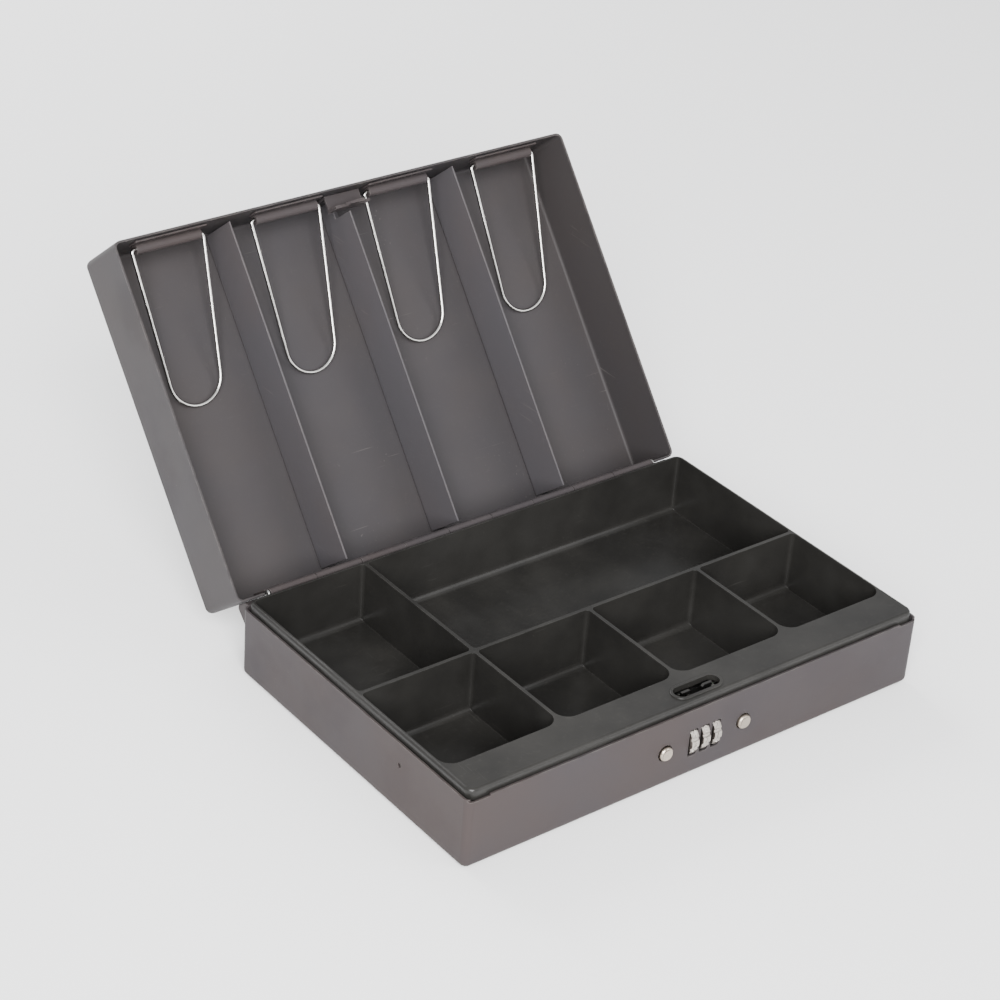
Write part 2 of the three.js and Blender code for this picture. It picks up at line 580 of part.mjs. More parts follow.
// L-section fins; the middle one is cut away round the strike.
function lidDivider(x) {
  const half = divider.thickness / 2;
  const front = lidFrontInside + divider.endGap;
  const back = -hinge.radius - divider.endGap;
  const under = lidTopInside - touchGap;
  const section = join(
    block(x - half, x + half, front, back, divider.freeEdge, under),
    block(x - half, x + divider.foot, front, back, under - divider.thickness, under));
  const reach = strike.halfWidth + 1;
  const strikeSpace = block(lock.centre - reach, lock.centre + reach, front - 1,
    strikeFront + strike.thickness + 1, 0, strike.flangeHigh + 1);
  return cut(section, strikeSpace);
}

const dividerNames = ['left', 'middle', 'right'];
dividerNames.forEach((name, index) => {
  addMesh(lid, `lid_divider_${name}`, lidDivider((index - 1) * bayPitch), 'paint');
});

// ---- note clips ----

// A leaf on the lid's front wall, rolled at its inner edge into a barrel with drawn-in ends.
function clipBracket() {
  const leafHalf = clip.spread + clip.leafOver;
  const leaf = block(-leafHalf, leafHalf, -barrelRadius, clip.sheet - barrelRadius, clip.leafEdge - clip.height, 0);
  const barrel = rodX(barrelRadius, -barrelHalf, barrelHalf, 0, 0, 20);
  const bore = rodX(barrelBore, -barrelCheek, barrelCheek, 0, 0, 16);
  const ends = rodX(clip.wire + touchGap, -barrelHalf - 1, barrelHalf + 1, 0, 0, 14);
  return cut(join(leaf, barrel), bore, ends);
}

// A path through unevenly spaced points, so that bends get more points than straights.
class Polyline extends THREE.Curve {
  constructor(points) {
    super();
    this.points = points;
  }

  getPoint(share, target = new THREE.Vector3()) {
    const place = share * (this.points.length - 1);
    const index = Math.min(Math.floor(place), this.points.length - 2);
    return target.lerpVectors(this.points[index], this.points[index + 1], place - index);
  }

  getPointAt(share, target) {
    return this.getPoint(share, target);
  }

  getTangentAt(share, target) {
    return this.getTangent(share, target);
  }
}

function arcPoints(x, y, radius, from, to, steps) {
  return Array.from({ length: steps + 1 }, (unused, step) => {
    const angle = from + ((to - from) * step) / steps;
    return new THREE.Vector3(x + Math.cos(angle) * radius, y + Math.sin(angle) * radius, 0);
  });
}

// The wire: two tails that turn in the barrel's ends, two legs that taper in, and a round end.
function clipCurve() {
  const endCentre = clip.length - clip.wire - clip.waist;
  const taper = Math.atan2(clip.spread - clip.waist, endCentre);
  const bendX = clip.spread - clip.bend;
  const points = [
    new THREE.Vector3(barrelCheek - clip.tail, 0, 0),
    ...arcPoints(bendX, clip.bend, clip.bend, -Math.PI / 2, taper, 6),
    ...arcPoints(0, endCentre, clip.waist, taper, Math.PI / 2, 10)];
  const mirrored = points.slice(0, -1).reverse().map((point) => new THREE.Vector3(-point.x, point.y, 0));
  return new Polyline([...points, ...mirrored]);
}

const restTilt = Math.asin((lidTopInside - touchGap - clip.wire - clip.height) / (clip.length - clip.wire));
const bays = [-1.5, -0.5, 0.5, 1.5].map((step) => step * bayPitch);

bays.forEach((x, index) => {
  const mountGroup = new THREE.Group();
  mountGroup.position.set(x, lidFrontInside + touchGap + barrelRadius, clip.height);
  lid.add(mountGroup);
  addMesh(mountGroup, `clip_bracket_${index + 1}`, clipBracket(), 'paint');

  const path = clipCurve();
  const wire = addMesh(mountGroup, `clip_wire_${index + 1}`,
    wireAlong(path, clip.wire, 8, path.points.length - 1), 'chrome');
  wire.rotation.x = restTilt;

  const springLength = clip.tail - 2 * (touchGap + clip.springWire);
  const spring = addMesh(mountGroup, `clip_spring_${index + 1}`,
    coil(springRadius, clip.springWire, springLength, clip.springTurns), 'zinc');
  spring.position.set(-barrelCheek + touchGap + clip.springWire, 0, 0);
});

export default box;
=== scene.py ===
import json
import math

import bmesh
import bpy
from mathutils import Matrix, Vector


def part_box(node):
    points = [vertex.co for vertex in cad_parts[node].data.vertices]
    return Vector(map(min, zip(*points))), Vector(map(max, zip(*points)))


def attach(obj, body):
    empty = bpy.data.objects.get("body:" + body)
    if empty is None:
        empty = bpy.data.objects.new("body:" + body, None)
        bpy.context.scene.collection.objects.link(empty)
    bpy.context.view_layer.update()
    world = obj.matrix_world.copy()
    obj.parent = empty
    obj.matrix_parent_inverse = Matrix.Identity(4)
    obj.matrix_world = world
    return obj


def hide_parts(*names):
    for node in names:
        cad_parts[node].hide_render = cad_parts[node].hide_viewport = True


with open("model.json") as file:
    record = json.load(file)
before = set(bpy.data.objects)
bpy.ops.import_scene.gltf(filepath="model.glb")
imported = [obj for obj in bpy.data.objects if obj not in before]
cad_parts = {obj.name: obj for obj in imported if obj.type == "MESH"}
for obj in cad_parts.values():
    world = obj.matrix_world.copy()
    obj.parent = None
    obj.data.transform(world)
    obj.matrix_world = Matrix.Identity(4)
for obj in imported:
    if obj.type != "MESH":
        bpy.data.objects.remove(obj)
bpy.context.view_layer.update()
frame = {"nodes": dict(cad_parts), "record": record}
mm = 0.001

case = {"width": 292, "depth": 192, "rim": 39.6, "sheet": 1.2, "corner": 4, "fold": 3, "edge": 0.28,
        "holeRadius": 1.3, "holeY": -42, "holeZ": 27, "reliefLong": 13, "reliefDeep": 1.7, "reliefLow": 1}
hinge = {"y": 99, "z": 40, "open": 129, "length": 256, "radius": 2.6, "knuckles": 9, "gap": 0.4}


def at(value, level):  # on a level, to a hundredth of a millimetre
    return abs(value - level) < 0.01


def deselect():  # the CAD nodes are selected after loading, and an operator acts on all that is selected
    bpy.ops.object.select_all(action="DESELECT")


def only(piece):  # selects one piece and makes it active
    deselect()
    piece.select_set(True)
    bpy.context.view_layer.objects.active = piece


def takeActive(name):
    piece = bpy.context.active_object
    piece.name = name
    piece.data.name = name
    return piece


def applyPlace(piece):
    only(piece)
    bpy.ops.object.transform_apply(location=True, rotation=True, scale=True)
    return piece


def block(name, low, high):  # a box between two corners, in millimetres
    deselect()
    centre = [(a + b) / 2 * mm for a, b in zip(low, high)]
    bpy.ops.mesh.primitive_cube_add(size=1, location=centre)
    piece = takeActive(name)
    piece.scale = [(b - a) * mm for a, b in zip(low, high)]
    return applyPlace(piece)


def rod(name, radius, start, length, axis, sides=32):  # a cylinder from a start point along X, Y or Z
    deselect()
    turn = {"X": (0, math.pi / 2, 0), "Y": (-math.pi / 2, 0, 0), "Z": (0, 0, 0)}[axis]
    step = Vector([length / 2 if axis == letter else 0 for letter in "XYZ"])
    bpy.ops.mesh.primitive_cylinder_add(vertices=sides, radius=radius * mm, depth=length * mm,
                                        location=(Vector(start) + step) * mm, rotation=turn)
    return applyPlace(takeActive(name))


def pickEdges(piece, test):  # stays in edit mode, with the chosen edges selected
    only(piece)
    bpy.ops.object.mode_set(mode="EDIT")
    bpy.ops.mesh.select_mode(type="EDGE")
    bpy.ops.mesh.select_all(action="DESELECT")
    mesh = bmesh.from_edit_mesh(piece.data)
    for edge in mesh.edges:
        a, b = (vert.co / mm for vert in edge.verts)
        if test(a, b):
            edge.select = True
    bmesh.update_edit_mesh(piece.data)


def pickFaces(piece, test):  # stays in edit mode, with the chosen faces selected
    only(piece)
    bpy.ops.object.mode_set(mode="EDIT")
    bpy.ops.mesh.select_mode(type="FACE")
    bpy.ops.mesh.select_all(action="DESELECT")
    mesh = bmesh.from_edit_mesh(piece.data)
    for face in mesh.faces:
        if test(face.calc_center_median() / mm, face.normal):
            face.select = True
    bmesh.update_edit_mesh(piece.data)


def leaveEdit():
    bpy.ops.object.mode_set(mode="OBJECT")


def selectAll(piece):  # stays in edit mode, with the whole piece selected
    only(piece)
    bpy.ops.object.mode_set(mode="EDIT")
    bpy.ops.mesh.select_all(action="SELECT")


def faceOutward(piece):
    selectAll(piece)
    bpy.ops.mesh.normals_make_consistent(inside=False)
    leaveEdit()


def bevelEdges(piece, test, radius, steps=4):
    pickEdges(piece, test)
    bpy.ops.mesh.bevel(offset=radius * mm, offset_type="OFFSET", segments=steps, profile=0.5, affect="EDGES",
                       clamp_overlap=True)
    leaveEdit()


def deleteFaces(piece, test):
    pickFaces(piece, test)
    bpy.ops.mesh.delete(type="FACE")
    leaveEdit()


def applyModifier(piece, kind, **values):
    only(piece)
    modifier = piece.modifiers.new(kind.lower(), kind)
    for key, value in values.items():
        setattr(modifier, key, value)
    bpy.ops.object.modifier_apply(modifier=modifier.name)


def combine(piece, tool, operation="DIFFERENCE"):
    applyModifier(piece, "BOOLEAN", object=tool, operation=operation, solver="EXACT")
    bpy.data.objects.remove(tool)


def softenEdges(piece, width, steps=2, degrees=50):
    applyModifier(piece, "BEVEL", width=width * mm, segments=steps, limit_method="ANGLE",
                  angle_limit=math.radians(degrees), use_clamp_overlap=True, harden_normals=False)


def finishMesh(piece, degrees=40, weighted=True):
    selectAll(piece)
    bpy.ops.mesh.remove_doubles(threshold=0.001 * mm)
    bpy.ops.mesh.normals_make_consistent(inside=False)
    leaveEdit()
    bpy.ops.object.shade_smooth_by_angle(angle=math.radians(degrees))
    if weighted:
        applyModifier(piece, "WEIGHTED_NORMAL", keep_sharp=True, weight=80)


def joinPieces(name, pieces):
    deselect()
    for piece in pieces:
        piece.select_set(True)
    bpy.context.view_layer.objects.active = pieces[0]
    bpy.ops.object.join()
    return takeActive(name)


def copyOf(piece, name, shift=(0, 0, 0)):
    twin = piece.copy()
    twin.data = piece.data.copy()
    twin.name = name
    twin.data.name = name
    bpy.context.scene.collection.objects.link(twin)
    twin.matrix_world = Matrix.Translation(Vector(shift) * mm) @ twin.matrix_world
    return applyPlace(twin)


def edgeChain(name, points):  # a run of edges through points in millimetres
    deselect()
    bpy.ops.mesh.primitive_plane_add(size=mm, location=Vector(points[0]) * mm)
    piece = takeActive(name)
    bpy.ops.object.mode_set(mode="EDIT")
    bpy.ops.mesh.select_mode(type="VERT")
    bpy.ops.mesh.select_all(action="SELECT")
    bpy.ops.mesh.merge(type="CENTER")
    for before, after in zip(points, points[1:]):
        step = (Vector(after) - Vector(before)) * mm
        bpy.ops.mesh.extrude_vertices_move(TRANSFORM_OT_translate={"value": step})
    leaveEdit()
    return applyPlace(piece)


def wireFrom(name, points, radius, roundness):  # a chain made a curve, given its thickness, then made a mesh
    piece = edgeChain(name, points)
    only(piece)
    bpy.ops.object.convert(target="CURVE")
    curve = bpy.context.active_object.data
    curve.bevel_depth = radius * mm
    curve.bevel_resolution = roundness
    curve.use_fill_caps = True
    bpy.ops.object.convert(target="MESH")
    piece = takeActive(name)
    finishMesh(piece, 50, False)
    return piece


def plateFrom(name, points, rise):  # a closed outline through points, filled and drawn out by rise
    piece = edgeChain(name, points)
    selectAll(piece)
    bpy.ops.mesh.edge_face_add()
    bpy.ops.mesh.extrude_region_move(TRANSFORM_OT_translate={"value": [step * mm for step in rise]})
    leaveEdit()
    faceOutward(piece)
    return piece


def arc(across, up, radius, fromDegrees, toDegrees, steps):  # points round a centre at (across, up)
    angles = [math.radians(fromDegrees + (toDegrees - fromDegrees) * i / steps) for i in range(steps + 1)]
    return [(across + math.cos(a) * radius, up + math.sin(a) * radius) for a in angles]


openTurn = (Matrix.Translation((0, hinge["y"] * mm, hinge["z"] * mm))
            @ Matrix.Rotation(-math.radians(hinge["open"]), 4, "X"))


def swingOpen(piece):  # from lid space, with the hinge axis along X through 0, to the open lid
    piece.matrix_world = openTurn @ piece.matrix_world
    return applyPlace(piece)


view = {"azimuth": -39.602, "elevation": 30.864, "roll": 4.373, "distance": 1.2925,
        "target": (-0.06165, 0, 0.12639), "focal": 2.6723}


def setCamera():
    az, el = math.radians(view["azimuth"]), math.radians(view["elevation"])
    back = Vector((math.sin(az) * math.cos(el), -math.cos(az) * math.cos(el), math.sin(el)))
    right = (-back).cross(Vector((0, 0, 1))).normalized()
    up = right.cross(-back)
    roll = math.radians(view["roll"])
    turnedRight = right * math.cos(roll) + up * math.sin(roll)
    turnedUp = up * math.cos(roll) - right * math.sin(roll)
    bpy.ops.object.camera_add(location=Vector(view["target"]) + back * view["distance"])
    camera = bpy.context.active_object
    camera.data.sensor_width = 36
    camera.data.lens = view["focal"] * 36
    turn = Matrix((turnedRight, turnedUp, back)).transposed()
    camera.rotation_euler = turn.to_euler()
    camera.data.clip_end = 20
    bpy.context.scene.camera = camera


studio = {
    "world": (0.97, 0.98, 1.0), "worldStrength": 0.95, "floor": (0.97, 0.97, 0.97), "aim": (0, 0, 0.06),
    "lamps": [
        {"name": "key", "at": (-1.25, -1.6, 1.35), "size": 1.4, "power": 165},
        {"name": "fill", "at": (1.2, -1.6, 1.0), "size": 1.4, "power": 16},
        {"name": "back", "at": (0.0, 2.1, 1.2), "size": 1.4, "power": 55},
    ],
}


def setStudio():
    world = bpy.data.worlds.new("studio")
    world.use_nodes = True
    background = world.node_tree.nodes["Background"]
    background.inputs["Color"].default_value = (*studio["world"], 1)
    background.inputs["Strength"].default_value = studio["worldStrength"]
    bpy.context.scene.world = world
    for lamp in studio["lamps"]:
        bpy.ops.object.light_add(type="AREA", location=lamp["at"])
        light = bpy.context.active_object
        light.name = lamp["name"]
        light.data.energy = lamp["power"]
        light.data.size = lamp["size"]
        towards = Vector(studio["aim"]) - Vector(lamp["at"])
        light.rotation_euler = towards.to_track_quat("-Z", "Y").to_euler()
    bpy.ops.mesh.primitive_plane_add(size=12, location=(0, 0, -0.0002))
    floor = takeActive("floor")
    paper = bpy.data.materials.new("paper")
    paper.use_nodes = True
    shader = paper.node_tree.nodes["Principled BSDF"]
    shader.inputs["Base Color"].default_value = (*studio["floor"], 1)
    shader.inputs["Roughness"].default_value = 0.9
    floor.data.materials.append(paper)


setCamera()
setStudio()
print("camera and studio ready")


def newGroup(name, inputs, outputs):
    group = bpy.data.node_groups.new(name, "ShaderNodeTree")
    for label, value in inputs:
        kind = "NodeSocketFloat" if isinstance(value, (int, float)) else "NodeSocketColor"
        socket = group.interface.new_socket(label, in_out="INPUT", socket_type=kind)
        socket.default_value = value if kind == "NodeSocketFloat" else (*value, 1)
    for label, kind in outputs:
        group.interface.new_socket(label, in_out="OUTPUT", socket_type=kind)
    return group, group.nodes.new("NodeGroupInput"), group.nodes.new("NodeGroupOutput")


def addNode(tree, kind, settings=None, **links):  # a node, its settings, and what feeds its sockets
    node = tree.nodes.new(kind)
    for key, value in (settings or {}).items():
        setattr(node, key, value)
    for key, source in links.items():
        socket = node.inputs[int(key[1:])] if key[0] == "i" and key[1:].isdigit() else node.inputs[key]
        if isinstance(source, bpy.types.NodeSocket):
            tree.links.new(source, socket)
        else:
            socket.default_value = source
    return node


def mathNode(tree, operation, a, b=0.0, clamp=False):
    settings = {"operation": operation, "use_clamp": clamp}
    return addNode(tree, "ShaderNodeMath", settings, i0=a, i1=b).outputs[0]


def noise(tree, place, scale, detail=4.0, rough=0.5):
    return addNode(tree, "ShaderNodeTexNoise", None, Vector=place, Scale=scale, Detail=detail,
                   Roughness=rough).outputs["Fac"]


def ramp(tree, value, low, high, outLow=0.0, outHigh=1.0):
    settings = {"clamp": True, "interpolation_type": "SMOOTHSTEP"}
    node = addNode(tree, "ShaderNodeMapRange", settings, Value=value)
    for label, number in (("From Min", low), ("From Max", high), ("To Min", outLow), ("To Max", outHigh)):
        if isinstance(number, bpy.types.NodeSocket):
            tree.links.new(number, node.inputs[label])
        else:
            node.inputs[label].default_value = number
    return node.outputs["Result"]


def mixColour(tree, factor, a, b, blend="MIX"):
    node = tree.nodes.new("ShaderNodeMix")
    node.data_type = "RGBA"
    node.blend_type = blend
    for socket, source in ((node.inputs[0], factor), (node.inputs[6], a), (node.inputs[7], b)):
        if isinstance(source, bpy.types.NodeSocket):
            tree.links.new(source, socket)
        else:
            socket.default_value = source if isinstance(source, (int, float)) else (*source[:3], 1)
    return node.outputs[2]


def stretch(tree, place, scale, turn=(0, 0, 0)):
    node = addNode(tree, "ShaderNodeMapping", None, Vector=place)
    node.inputs["Scale"].default_value = scale
    node.inputs["Rotation"].default_value = turn
    return node.outputs["Vector"]


# Edge is where a rounded edge is, broken up by noise: wear, and also a painted edge highlight. Hollow is
# painted shade from ambient occlusion, where surfaces crowd together.
def makeEdgeWear():
    group, enter, leave = newGroup("edgeWearAndPaintedLight", [("Break", 90.0), ("Amount", 0.5), ("Reach", 0.0006)],
                                   [("Edge", "NodeSocketFloat"), ("Hollow", "NodeSocketFloat")])
    place = addNode(group, "ShaderNodeTexCoord").outputs["Object"]
    rounded = addNode(group, "ShaderNodeBevel", {"samples": 4}, Radius=enter.outputs["Reach"])
    flat = addNode(group, "ShaderNodeNewGeometry").outputs["Normal"]
    agree = addNode(group, "ShaderNodeVectorMath", {"operation": "DOT_PRODUCT"}, i0=rounded.outputs[0],
                    i1=flat)
    patch = noise(group, place, enter.outputs["Break"], 6.0, 0.6)
    edge = ramp(group, agree.outputs["Value"], 0.99, 0.90)
    crowd = addNode(group, "ShaderNodeAmbientOcclusion", {"samples": 4}, Distance=0.006).outputs["AO"]
    inOpen = ramp(group, crowd, 0.55, 0.8)
    bare = mathNode(group, "MULTIPLY", edge, inOpen)
    broken = mathNode(group, "MULTIPLY", bare, ramp(group, patch, 0.36, 0.6))
    group.links.new(mathNode(group, "MULTIPLY", broken, enter.outputs["Amount"]), leave.inputs["Edge"])
    # painted shade: high where ambient occlusion finds surfaces crowding together
    group.links.new(ramp(group, crowd, 0.75, 0.35), leave.inputs["Hollow"])
    return group


def makeScuffs():  # fine straight scratches in two directions, and soft rubbed patches
    group, enter, leave = newGroup("scuffs", [("Scale", 1.0)],
                                   [("Scratch", "NodeSocketFloat"), ("Rub", "NodeSocketFloat")])
    place = addNode(group, "ShaderNodeTexCoord").outputs["Object"]
    scaled = addNode(group, "ShaderNodeVectorMath", {"operation": "SCALE"}, i0=place,
                     Scale=enter.outputs["Scale"])
    base = scaled.outputs[0]
    lines = []
    for scale, turn in (((30, 900, 900), (0.1, 0.25, 0.6)), ((700, 26, 700), (0.4, 0.1, 0.2))):
        streak = noise(group, stretch(group, base, scale, turn), 1.0, 2.0)
        lines.append(ramp(group, streak, 0.70, 0.76))
    where = ramp(group, noise(group, base, 22.0, 3.0), 0.48, 0.66)
    both = mathNode(group, "MAXIMUM", lines[0], lines[1])
    group.links.new(mathNode(group, "MULTIPLY", both, where), leave.inputs["Scratch"])
    group.links.new(ramp(group, noise(group, base, 14.0, 5.0, 0.62), 0.42, 0.72), leave.inputs["Rub"])
    return group


def makeDust():  # thin dust that lies on what faces up
    group, enter, leave = newGroup("dust", [("Amount", 0.2)], [("Mask", "NodeSocketFloat")])
    place = addNode(group, "ShaderNodeTexCoord").outputs["Object"]
    split = addNode(group, "ShaderNodeSeparateXYZ", None,
                    Vector=addNode(group, "ShaderNodeNewGeometry").outputs["Normal"])
    up = ramp(group, split.outputs["Z"], 0.3, 1.0)
    specks = ramp(group, noise(group, place, 420.0, 2.0), 0.60, 0.72)
    cloud = ramp(group, noise(group, place, 30.0, 4.0), 0.35, 0.75)
    layer = mathNode(group, "ADD", mathNode(group, "MULTIPLY", cloud, 0.6),
                     mathNode(group, "MULTIPLY", specks, 0.5))
    fall = mathNode(group, "MULTIPLY", up, layer, True)
    group.links.new(mathNode(group, "MULTIPLY", fall, enter.outputs["Amount"]), leave.inputs["Mask"])
    return group


def makePeel():  # the fine uneven skin of sprayed enamel or moulded plastic
    group, enter, leave = newGroup("peel", [("Coarse", 260.0), ("Fine", 1500.0)],
                                   [("Height", "NodeSocketFloat")])
    place = addNode(group, "ShaderNodeTexCoord").outputs["Object"]
    coarse = noise(group, place, enter.outputs["Coarse"], 2.0)
    fine = noise(group, place, enter.outputs["Fine"], 3.0)
    height = mathNode(group, "ADD", mathNode(group, "MULTIPLY", coarse, 0.65),
                      mathNode(group, "MULTIPLY", fine, 0.35))
    group.links.new(height, leave.inputs["Height"])
    return group


edgeWearAndPaintedLight, scuffs, dust, peel = makeEdgeWear(), makeScuffs(), makeDust(), makePeel()


def placeGroup(tree, group, **values):
    node = tree.nodes.new("ShaderNodeGroup")
    node.node_tree = group
    for key, value in values.items():
        node.inputs[key].default_value = value
    return node


def startMaterial(name, **constants):
    material = bpy.data.materials.new(name)
    material.use_nodes = True
    tree = material.node_tree
    shader = tree.nodes["Principled BSDF"]
    for key, value in constants.items():
        shader.inputs[key.replace("_", " ")].default_value = value
    return material, tree, shader


def connect(tree, shader, colour, roughness, height, strength, distance):
    tree.links.new(colour, shader.inputs["Base Color"])
    tree.links.new(roughness, shader.inputs["Roughness"])
    bump = addNode(tree, "ShaderNodeBump", None, Height=height, Strength=strength, Distance=distance)
    tree.links.new(bump.outputs["Normal"], shader.inputs["Normal"])


# The light worn colour marks scratches and worn edges; on edges it is also a painted highlight. The hollow
# colour and its amount are painted shade where surfaces crowd together.
enamel = {"base": (0.0430, 0.0345, 0.0335), "second": (0.0390, 0.0345, 0.0365), "wornAndHighlight": (0.13, 0.118, 0.112),
          "dust": (0.10, 0.088, 0.080), "hollow": (0.015, 0.013, 0.013), "rough": (0.46, 0.57),
          "specular": 0.11, "toneScale": 9.0, "toneDetail": 5.0, "toneRough": 0.6, "toneTop": 0.7,
          "wearBreak": 120.0, "wearAmount": 0.75, "scuffScale": 1.0, "scratch": 0.35, "scratchDeep": 0.5,
          "dustAmount": 0.16, "dustRough": 0.3, "hollowAmount": 0.06, "coarse": 320.0, "fine": 1600.0,
          "bump": 0.28, "bumpHigh": 0.00012}
# the lid's copy of the case paint is a little lighter and cooler: painted light
lidEnamelPaintedLight = enamel | {"base": (0.0420, 0.0372, 0.0370), "second": (0.0400, 0.0372, 0.0395)}
# the dividers' copy of the case paint is much lighter: painted light on their shaded faces
finEnamelPaintedLight = enamel | {"base": (0.0700, 0.0620, 0.0640), "second": (0.0660, 0.0620, 0.0670)}
moulding = {"base": (0.0115, 0.0110, 0.0102), "second": (0.019, 0.0182, 0.0168),
            "wornAndHighlight": (0.052, 0.050, 0.046), "dust": (0.080, 0.075, 0.067), "rough": (0.30, 0.50),
            "specular": 0.26, "toneScale": 16.0, "toneDetail": 6.0, "toneRough": 0.65, "toneTop": 0.72,
            "wearBreak": 70.0, "wearAmount": 0.5, "scuffScale": 1.4, "scratch": 0.5, "scratchDeep": 0.4,
            "dustAmount": 0.14, "dustRough": 0.4, "coarse": 420.0, "fine": 2600.0,
            "bump": 0.25, "bumpHigh": 0.0001}


def makeCoat(name, coat):  # sprayed enamel or moulded plastic, with wear, scratches and dust, worn edges that are also a painted highlight, and, for enamel, painted shade where surfaces crowd together
    material, tree, shader = startMaterial(name, Specular_IOR_Level=coat["specular"])
    where = addNode(tree, "ShaderNodeTexCoord").outputs["Object"]
    wearAndPaintedLight = placeGroup(tree, edgeWearAndPaintedLight, Break=coat["wearBreak"], Amount=coat["wearAmount"])
    marks = placeGroup(tree, scuffs, Scale=coat["scuffScale"])
    lying = placeGroup(tree, dust, Amount=coat["dustAmount"])
    skin = placeGroup(tree, peel, Coarse=coat["coarse"], Fine=coat["fine"])
    cloud = noise(tree, where, coat["toneScale"], coat["toneDetail"], coat["toneRough"])
    colour = mixColour(tree, ramp(tree, cloud, 0.3, coat["toneTop"]), coat["base"], coat["second"])
    scratched = mathNode(tree, "MULTIPLY", marks.outputs["Scratch"], coat["scratch"])
    colour = mixColour(tree, scratched, colour, coat["wornAndHighlight"])
    # worn edges, lightened: wear, and also a painted edge highlight
    colour = mixColour(tree, wearAndPaintedLight.outputs["Edge"], colour, coat["wornAndHighlight"])
    colour = mixColour(tree, lying.outputs["Mask"], colour, coat["dust"])
    if "hollow" in coat:  # painted shade: only the enamel darkens where surfaces crowd together
        shaded = mathNode(tree, "MULTIPLY", wearAndPaintedLight.outputs["Hollow"], coat["hollowAmount"])
        colour = mixColour(tree, shaded, colour, coat["hollow"])
    roughness = ramp(tree, marks.outputs["Rub"], 0.0, 1.0, *coat["rough"])
    dulled = mathNode(tree, "MULTIPLY", lying.outputs["Mask"], coat["dustRough"])
    roughness = mathNode(tree, "ADD", roughness, dulled, True)
    cuts = mathNode(tree, "MULTIPLY", marks.outputs["Scratch"], coat["scratchDeep"])
    height = mathNode(tree, "SUBTRACT", skin.outputs["Height"], cuts)
    connect(tree, shader, colour, roughness, height, coat["bump"], coat["bumpHigh"])
    return material


# In each metal, the amount between grain and specks darkens it where surfaces crowd together: painted shade.
metals = {
    "brightWire": {"base": (0.63, 0.615, 0.59), "dark": (0.24, 0.23, 0.22), "rough": (0.14, 0.30),
                   "grain": 0.0, "paintedShadeInHollows": 0.5, "specks": 0.0},
    "darkSteel": {"base": (0.075, 0.073, 0.070), "dark": (0.030, 0.029, 0.028), "rough": (0.34, 0.5),
                  "grain": 0.1, "paintedShadeInHollows": 0.6, "specks": 0.0},
    "zincPlate": {"base": (0.52, 0.52, 0.50), "dark": (0.26, 0.26, 0.25), "rough": (0.30, 0.46),
                  "grain": 0.15, "paintedShadeInHollows": 0.6, "specks": 0.0},
    "castDial": {"base": (0.50, 0.46, 0.42), "dark": (0.11, 0.10, 0.09), "rough": (0.30, 0.46), "grain": 0.0,
                 "paintedShadeInHollows": 0.9, "specks": 0.35},
    "satinNickel": {"base": (0.47, 0.41, 0.345), "dark": (0.24, 0.20, 0.16), "rough": (0.26, 0.40),
                    "grain": 0.0, "paintedShadeInHollows": 0.6, "specks": 0.2},
}


def makeMetal(name):  # bare or plated metal, drawn in lines along X where it has a grain, with painted shade where surfaces crowd together and edges painted brighter as a highlight
    metal = metals[name]
    base, dark, grain = metal["base"], metal["dark"], metal["grain"]
    material, tree, shader = startMaterial(name, Metallic=1.0)
    where = addNode(tree, "ShaderNodeTexCoord").outputs["Object"]
    wearAndPaintedLight = placeGroup(tree, edgeWearAndPaintedLight, Break=160.0, Amount=0.6)
    marks = placeGroup(tree, scuffs, Scale=2.0)
    cloudy = ramp(tree, noise(tree, where, 60.0, 5.0, 0.6), 0.35, 0.7)
    colour = mixColour(tree, mathNode(tree, "MULTIPLY", cloudy, 0.35), base, dark)
    # painted shade: darkened where surfaces crowd together
    colour = mixColour(tree, mathNode(tree, "MULTIPLY", wearAndPaintedLight.outputs["Hollow"], metal["paintedShadeInHollows"]), colour, dark)
    if metal["specks"]:
        grit = ramp(tree, noise(tree, where, 1400.0, 3.0), 0.56, 0.70)
        colour = mixColour(tree, mathNode(tree, "MULTIPLY", grit, metal["specks"]), colour, dark)
    # edges painted brighter than the base: wear, and also a painted highlight
    colour = mixColour(tree, wearAndPaintedLight.outputs["Edge"], colour, [min(1, c * 1.15) for c in base])
    roughness = ramp(tree, marks.outputs["Rub"], 0.0, 1.0, *metal["rough"])
    if grain:
        fine = noise(tree, stretch(tree, where, (40, 2200, 2200)), 1.0, 2.0)
    else:
        fine = noise(tree, where, 1800.0, 2.0)
    height = mathNode(tree, "SUBTRACT", fine, mathNode(tree, "MULTIPLY", marks.outputs["Scratch"], 0.8))
    connect(tree, shader, colour, roughness, height, 0.12 + grain, 0.00004)
    return material


finishes = {
    "paint": makeCoat("greyEnamel", enamel),
    "lid": makeCoat("lidEnamelPaintedLight", lidEnamelPaintedLight),
    "fin": makeCoat("finEnamelPaintedLight", finEnamelPaintedLight),
    "tray_plastic": makeCoat("blackMoulding", moulding),
    "wire": makeMetal("brightWire"),
    "dark_steel": makeMetal("darkSteel"),
    "zinc": makeMetal("zincPlate"),
    "dial_metal": makeMetal("castDial"),
    "button_metal": makeMetal("satinNickel"),
}
print("materials ready")


def clothe(piece, finish):
    piece.data.materials.clear()
    piece.data.materials.append(finishes[finish])


def settle(piece, body, slotName, *nodes, finish=None):  # finish is a lighter copy of the slot's own coat: painted light
    clothe(piece, finish or slotName)
    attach(piece, body)
    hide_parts(*nodes)


slotOf = {part["node"]: part["material_slot"] for part in frame["record"]["subparts"]}
for nodeName, node in frame["nodes"].items():
    clothe(node, slotOf[nodeName])


